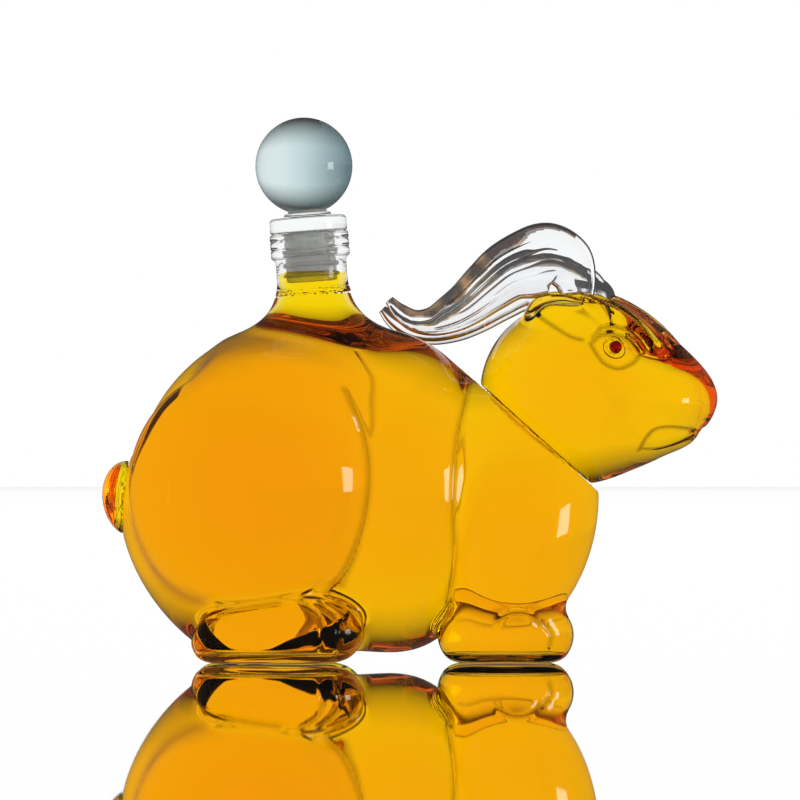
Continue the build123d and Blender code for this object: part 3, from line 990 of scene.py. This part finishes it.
def sleeve_profile():
    """The seal: a blind tube with four round ribs."""
    core, peg = SLEEVE_DIAMETER / 2, PEG_DIAMETER / 2
    crest = NECK_BORE / 2 - SEAL_CLEARANCE
    foot = MOUTH - SLEEVE_LENGTH
    points = [(0, foot), (core - 0.8, foot), (core - 0.2, foot + 0.25), (core, foot + 0.8)]
    for i in range(RIB_COUNT):
        middle = foot + FIRST_RIB + i * RIB_PITCH
        for angle in np.radians(np.linspace(-90, 90, 9)):
            points.append((core + (crest - core) * cos(angle), middle + RIB_HEIGHT / 2 * sin(angle)))
    points += [(core, MOUTH - PIECE_GAP), (peg, MOUTH - PIECE_GAP)]
    return points + [(peg, MOUTH - PEG_LENGTH), (0, MOUTH - PEG_LENGTH)]


def ball_profile():
    """The ball, flat where it is bonded."""
    radius = BALL_DIAMETER / 2
    foot = MOUTH + CAP_THICKNESS + BOSS_HEIGHT + BOND_THICKNESS
    centre = foot + sqrt(radius**2 - (BOND_DIAMETER / 2) ** 2)
    start = degrees(atan2(foot - centre, BOND_DIAMETER / 2))
    return [(0, foot)] + arc((0, centre), radius, start, 90, 90)[:-1] + [(0, centre + radius)]


def bond_profile():
    """The disc of adhesive, a little squeezed out."""
    foot = MOUTH + CAP_THICKNESS + BOSS_HEIGHT
    radius = BOND_DIAMETER / 2
    low, high = foot + PIECE_GAP, foot + BOND_THICKNESS - PIECE_GAP
    return [(0, low), (radius, low), (radius + 0.15, foot + 0.45), (radius, high), (0, high)]


def stopper():
    """The stopper's pieces."""
    cap_glass = clear_glass("cap_glass", CAP_COLOUR, 90.0, 0.1)
    cap = lathe_piece("stopper_cap_glass", cap_profile())
    finish_piece(cap, [cap_glass], "stopper", "clear_glass", "stopper_cap")
    sleeve = lathe_piece("seal_sleeve_ribbed", sleeve_profile())
    finish_piece(sleeve, [silicone_material()], "stopper", "silicone", "seal_sleeve")
    ball = lathe_piece("stopper_ball_glass", ball_profile())
    finish_piece(ball, [smoke_glass()], "stopper", "smoke_glass", "stopper_ball")
    bond = lathe_piece("stopper_bond_disc", bond_profile())
    finish_piece(bond, [adhesive_material()], "stopper", "adhesive", "stopper_bond")


# Tests of places on the glass: each takes points as rows and tells which of them pass

def near(field, reach=CONTACT):
    """A test for places near a field's surface."""
    return lambda points: np.abs(field(points)) < reach


def inside(field, depth=0.0):
    """A test for places inside a field by more than a depth."""
    return lambda points: field(points) < -depth


def any_of(*tests):
    """A test that passes where any of several does."""
    return lambda points: np.any([test(points) for test in tests], axis=0)


def at_neck_seam(points):
    """Where the neck is welded on the body."""
    return np.abs(along_neck(points) - NECK_SEAM) < NECK_CONTACT


def at_seam(points):
    """Where the head is welded on the body, outside the port."""
    return (np.abs(above_seam(points)) < CONTACT) & (port_field(points) > PORT_CLEAR)


def open_top(points):
    """On the liquor's level in the neck."""
    return points[:, 2] > LIQUOR_LEVEL - LEVEL_CONTACT


def bottle():
    """The glass of the bottle, wetted where the liquor lies against it, and the liquor."""
    dry = clear_glass("blown_glass", line_shaded=True)
    wetted = clear_glass("wetted_glass", ior=GLASS_IOR / LIQUOR_IOR)
    welded = clear_glass("welded_glass", ior=WELDED_IOR)

    def tail(points):
        return egg_field(points, TAIL_EGG)

    def bore(points):
        return tube_field(points, NECK_ORIGIN, neck_axis, NECK_BORE / 2)

    def lens_holes(points):
        return lens_field(points, 0.0)

    body = blown_piece("body_glass", body_shell, BODY_BOX, BODY_STEP)
    mark_line_shade(body, mirrored, body_lines)
    wet = any_of(near(body_hollow), near(port_field), near(tail_port_field), inside(tail_hollow))
    sort_faces(body, [wet, any_of(inside(tail), at_neck_seam, at_seam), wet])
    finish_piece(body, [dry, wetted, welded, wetted], "bottle", "clear_glass", "body_shell")

    head = blown_piece("head_glass", head_shell, HEAD_BOX, HEAD_STEP)
    mark_line_shade(head, lambda points: mirrored(in_head(points)), head_lines)
    sort_faces(head, [any_of(near(head_hollow), near(port_field)), any_of(at_seam, near(lens_holes))])
    finish_piece(head, [dry, wetted, welded], "bottle", "clear_glass", "head_shell")

    bob = blown_piece("tail_glass", tail_shell, TAIL_BOX, TAIL_STEP)
    wet = any_of(near(tail_hollow), near(tail_port_field))
    sort_faces(bob, [wet, near(body_outside, TAIL_CONTACT)])
    finish_piece(bob, [dry, wetted, welded], "bottle", "clear_glass", "tail_bob")

    neck = lathe_piece("neck_glass", neck_profile())
    sort_faces(neck, [inside(bore, -BORE_CONTACT), at_neck_seam])
    finish_piece(neck, [dry, wetted, welded], "bottle", "clear_glass", "neck_tube", "neck_collar")

    filling = blown_piece("liquor_fill", liquor, LIQUOR_BOX, LIQUOR_STEP)
    sort_faces(filling, [open_top])
    amber = liquor_material("amber_liquor", WELDED_IOR)
    amber_top = liquor_material("amber_liquor_top", LIQUOR_IOR)
    finish_piece(filling, [amber, amber_top], "bottle", "clear_glass")


def round_profile(diameter, thickness):
    """A lens or a bead."""
    angles = np.radians(np.linspace(-90, 90, 25))
    return [(diameter / 2 * cos(a), thickness / 2 * sin(a)) for a in angles]


def eyes():
    """The lenses and the red beads in them."""
    lens_glass = [
        clear_glass("lens_glass"),
        clear_glass("lens_welded_glass", ior=WELDED_IOR),
        clear_glass("lens_wetted_glass", ior=GLASS_IOR / LIQUOR_IOR),
    ]
    red = tinted(clear_glass("red_bead_glass", BEAD_COLOUR, 30.0, 0.05), BEAD_TINT, BEAD_DENSITY)
    lens_profile = round_profile(LENS_DIAMETER, LENS_THICKNESS)
    bead_profile = round_profile(BEAD_DIAMETER, BEAD_DIAMETER)
    for name, (lens_centre, bead_centre, turn) in zip(("right", "left"), lens_frames()):
        lens = lathe_piece(f"eye_lens_{name}_glass", lens_profile, lens_centre, turn)
        sort_faces(lens, [inside(head_form, LENS_CONTACT), inside(head_hollow)])
        finish_piece(lens, lens_glass, "bottle", "clear_glass", f"eye_lens_{name}")
        bead = lathe_piece(f"eye_bead_{name}_glass", bead_profile, bead_centre, turn)
        finish_piece(bead, [red], "bottle", "red_glass", f"eye_bead_{name}")


def ear_rows(length, side):
    """Rows along an ear: the length back from its root, height, half width and thickness."""
    rows = curve_through(EAR_ROWS, EAR_ROW_PARTS) * np.array([length, EAR_RISE, EAR_WIDTH, EAR_THICKNESS])
    if side > 0:
        clear = smooth_step(*FAR_EAR_CLEAR, rows[:, 0] / length)
        rows[:, 1] -= FAR_EAR_SINK * (1 - clear)
        rows[:, 2] *= FAR_EAR_ROOT + (1 - FAR_EAR_ROOT) * clear
    return rows


def ear_section(half, thickness, share, side):
    """A section of an ear, scooped and lined on its outer side: points across it and through it."""
    edge = thickness * EAR_EDGE_SHARE
    round_off = 1 - EAR_ACROSS**2
    sag = (half * EAR_SCOOP_SHARE - edge + thickness / 2) * round_off
    flesh = edge + (thickness / 2 - edge) * round_off
    outer = sag - flesh
    for place, drift, first, last in EAR_FLOWS:
        line = side * -1 * (place + drift * share)
        faded = smooth_step(first, first + EAR_FLOW_START, share)
        faded = faded * (1 - smooth_step(last - EAR_FLOW_END, last, share))
        off_line = (EAR_ACROSS - line) * half / EAR_GROOVE_WIDTH
        outer += faded * EAR_GROOVE_DEPTH * np.exp(-(off_line**2))
    outside = np.stack([EAR_ACROSS * half, outer], 1)
    inside = np.stack([EAR_ACROSS[::-1] * half, (sag + flesh)[::-1]], 1)
    low_edge = np.stack([-half - edge * np.cos(EAR_TURNS), -edge * np.sin(EAR_TURNS)], 1)
    high_edge = np.stack([half + edge * np.cos(EAR_TURNS), edge * np.sin(EAR_TURNS)], 1)
    return np.vstack([outside, low_edge, inside, high_edge])


def ear_mesh(name, length, side):
    """An ear: a leaf swept back in an S from the head's surface, with the faces of its painted dark rim
    marked.
    """
    rows = ear_rows(length, side)
    root = np.array(HEAD_CENTRE) + head_turn @ (np.array(EAR_BASE) * [1, side, 1])
    root[2] -= LEFT_EAR_DROP if side > 0 else 0.0
    rings = []
    for i, (back, up, half, thickness) in enumerate(rows):
        share = back / length
        before, after = rows[max(i - 1, 0)], rows[min(i + 1, len(rows) - 1)]
        along = np.array([before[0] - after[0], 0, after[1] - before[1]])
        along /= np.linalg.norm(along)
        wide = -side * np.array([along[2], 0, -along[0]])
        thick = np.cross(along, wide)
        loop = ear_section(half, thickness, share, side)
        middle = root + np.array([-back, side * EAR_SPLAY * share, up])
        rings.append(middle + loop[:, :1] * wide + loop[:, 1:] * thick)
    count = len(rings[0])
    last = (len(rings) - 1) * count
    points = np.vstack(rings + [rings[0].mean(0), rings[-1].mean(0)])
    points = settle(head_form, points, EAR_SEAT_ROUNDS, EAR_SEAT)
    following = [(j, (j + 1) % count) for j in range(count)]
    faces = []
    for start in range(0, last, count):
        faces += [[start + j, start + k, start + count + k, start + count + j] for j, k in following]
    for j, k in following:
        faces.append([len(points) - 2, k, j])
        faces.append([len(points) - 1, last + j, last + k])
    piece = small_piece(name, points, faces)

    edge = np.ones(len(EAR_TURNS))
    places = np.r_[EAR_ACROSS, -edge, EAR_ACROSS[::-1], edge]

    def in_painted_rim(row, column):
        """Tells whether a face lies in the painted dark rim."""
        back, _, half, _ = rows[row]
        share = back / length
        rim = EAR_PAINTED_RIM * smooth_step(*EAR_PAINTED_RIM_START, share)
        rim = rim * (1 - EAR_PAINTED_RIM_THINNING * smooth_step(*EAR_PAINTED_RIM_END, share))
        return -side * places[column] * half > half - rim + EAR_PAINTED_RIM_WAVER * sin(EAR_PAINTED_RIM_WAVES * share)

    kinds = [in_painted_rim(n // count, n % count) for n in range(last)] + [False] * (2 * count)
    piece.data.polygons.foreach_set("material_index", np.array(kinds, np.int32))
    return piece


def ears():
    """The ears in clear glass with a painted dark upper edge."""
    glass = [clear_glass("ear_glass", EAR_COLOUR, 120.0, 0.4), painted_rim_glass("ear_painted_rim_glass")]
    for name, length, side in (("ear_right", RIGHT_EAR_LENGTH, -1), ("ear_left", LEFT_EAR_LENGTH, 1)):
        finish_piece(ear_mesh(name + "_glass", length, side), glass, "bottle", "clear_glass", name)


# Camera, light and floor

# The studio's brightness: upward as seen through glass and in the table, and from left to right
THROUGH_STOPS = ((0.0, 1.0), (0.3, 1.0), (0.75, 0.07))
TABLE_STOPS = ((0.0, 1.0), (0.25, 1.0), (0.5, 0.3))
SIDE_STOPS = ((0.0, 0.82), (0.5, 1.0))
DIM = (0.07, 0.07, 0.07, 1)

# The table by how far a ray grazes it: its brightness as seen through glass, and its share of mirror
FLOOR_STOPS = ((0.12, 0.1), (0.4, 0.45), (0.75, 1.0))
GRAZING_STOPS = ((0.0, 0.0), (0.75, 0.05), (0.93, 1.0))
TABLE_COLOUR = (0.85, 0.85, 0.85, 1)
TABLE_ROUGHNESS = 0.25
MIRROR_COLOUR = (0.995, 0.995, 0.995, 1)
MIRROR_ROUGHNESS = 0.012

# The table's half width and how far it lies under the part, in metres
TABLE_REACH = 400.0
TABLE_DROP = 0.0002

FRAME_WIDTH = 272.0
VIEW_MIDDLE = (-3.4, 0.0, 89.1)
CAMERA_DISTANCE = 3000.0
CAMERA_HEIGHT = 60.0
CAMERA_SIGHT = 1000.0
SENSOR_WIDTH = 36.0

# The soft light's place, aim and width in metres, and its power
KEY_PLACE = (1.15, -0.5, 0.13)
KEY_AIM = (0, 0, 0.07)
KEY_SIZE = 0.36
KEY_POWER = 2.6


def camera():
    """A long lens, square to the rabbit's right side and a little above the table."""
    data = bpy.data.cameras.new("camera")
    data.sensor_width = SENSOR_WIDTH
    data.lens = SENSOR_WIDTH * CAMERA_DISTANCE / FRAME_WIDTH
    data.clip_end = CAMERA_SIGHT
    eye = placed("camera", data)
    middle = Vector(VIEW_MIDDLE) * MM
    eye.location = (middle.x, -CAMERA_DISTANCE * MM, CAMERA_HEIGHT * MM)
    eye.rotation_euler = (middle - eye.location).to_track_quat("-Z", "Y").to_euler()
    bpy.context.scene.camera = eye


def world():
    """A studio that is bright behind the glass, dim in its reflections and white to the camera."""
    studio = bpy.data.worlds.new("studio")
    studio.use_nodes = True
    tree = studio.node_tree
    places = places_split(tree, "Generated")
    path = tree.nodes.new("ShaderNodeLightPath")
    upward = ramp(tree, places["Z"], THROUGH_STOPS)
    sideways = ramp(tree, share_between(tree, places["X"], -1.0, 1.0), SIDE_STOPS)
    through = mixed(tree, 1.0, upward, sideways, "MULTIPLY")
    in_table = ramp(tree, places["Z"], TABLE_STOPS)
    mirrored_light = mixed(tree, path.outputs["Is Singular Ray"], in_table, DIM)
    light = mixed(tree, path.outputs["Is Reflection Ray"], through, mirrored_light)
    light = mixed(tree, path.outputs["Is Camera Ray"], light, (*WHITE, 1))
    tree.links.new(light, tree.nodes["Background"].inputs["Color"])
    bpy.context.scene.world = studio


def key_light():
    """A square soft light in front of the rabbit and beside the camera."""
    data = bpy.data.lights.new("key_softbox", "AREA")
    data.shape = "RECTANGLE"
    data.size = KEY_SIZE
    data.size_y = KEY_SIZE
    data.energy = KEY_POWER
    lamp = placed("key_softbox", data)
    lamp.location = KEY_PLACE
    lamp.rotation_euler = (Vector(KEY_AIM) - Vector(KEY_PLACE)).to_track_quat("-Z", "Y").to_euler()


def table_material():
    """Matt from above, a mirror at a grazing look, and bright through the glass."""
    material, tree, matt = new_material("white_gloss")
    nodes, links = tree.nodes, tree.links
    matt.inputs["Base Color"].default_value = TABLE_COLOUR
    matt.inputs["Roughness"].default_value = TABLE_ROUGHNESS
    mirror = nodes.new("ShaderNodeBsdfGlossy")
    mirror.inputs["Color"].default_value = MIRROR_COLOUR
    mirror.inputs["Roughness"].default_value = MIRROR_ROUGHNESS
    facing = nodes.new("ShaderNodeLayerWeight")
    facing.inputs["Blend"].default_value = 0.5
    path = nodes.new("ShaderNodeLightPath")
    both = nodes.new("ShaderNodeMath")
    both.operation = "MULTIPLY"
    links.new(path.outputs["Is Singular Ray"], both.inputs[0])
    links.new(path.outputs["Is Reflection Ray"], both.inputs[1])
    bright = nodes.new("ShaderNodeEmission")
    dim = nodes.new("ShaderNodeEmission")
    dim.inputs["Color"].default_value = DIM
    links.new(ramp(tree, facing.outputs["Facing"], FLOOR_STOPS), bright.inputs["Color"])
    grazing = ramp(tree, facing.outputs["Facing"], GRAZING_STOPS)
    surface = matt.outputs[0]
    seen = ((grazing, mirror), (path.outputs["Is Transmission Ray"], bright), (both.outputs[0], dim))
    for factor, other in seen:
        blend = nodes.new("ShaderNodeMixShader")
        links.new(factor, blend.inputs["Fac"])
        links.new(surface, blend.inputs[1])
        links.new(other.outputs[0], blend.inputs[2])
        surface = blend.outputs[0]
    links.new(surface, nodes["Material Output"].inputs["Surface"])
    return material


def floor():
    """A pale table top."""
    mesh = bpy.data.meshes.new("table_top")
    corners = [(x * TABLE_REACH, y * TABLE_REACH, 0) for x, y in ((-1, -1), (1, -1), (1, 1), (-1, 1))]
    mesh.from_pydata(corners, [], [(0, 1, 2, 3)])
    mesh.materials.append(table_material())
    top = placed("table_top", mesh)
    top.location.z = -TABLE_DROP


bottle()
stopper()
eyes()
ears()
camera()
world()
key_light()
floor()

scene = bpy.context.scene
scene.view_settings.view_transform = "Standard"
scene.cycles.max_bounces = LIGHT_BOUNCES
scene.cycles.transmission_bounces = LIGHT_BOUNCES
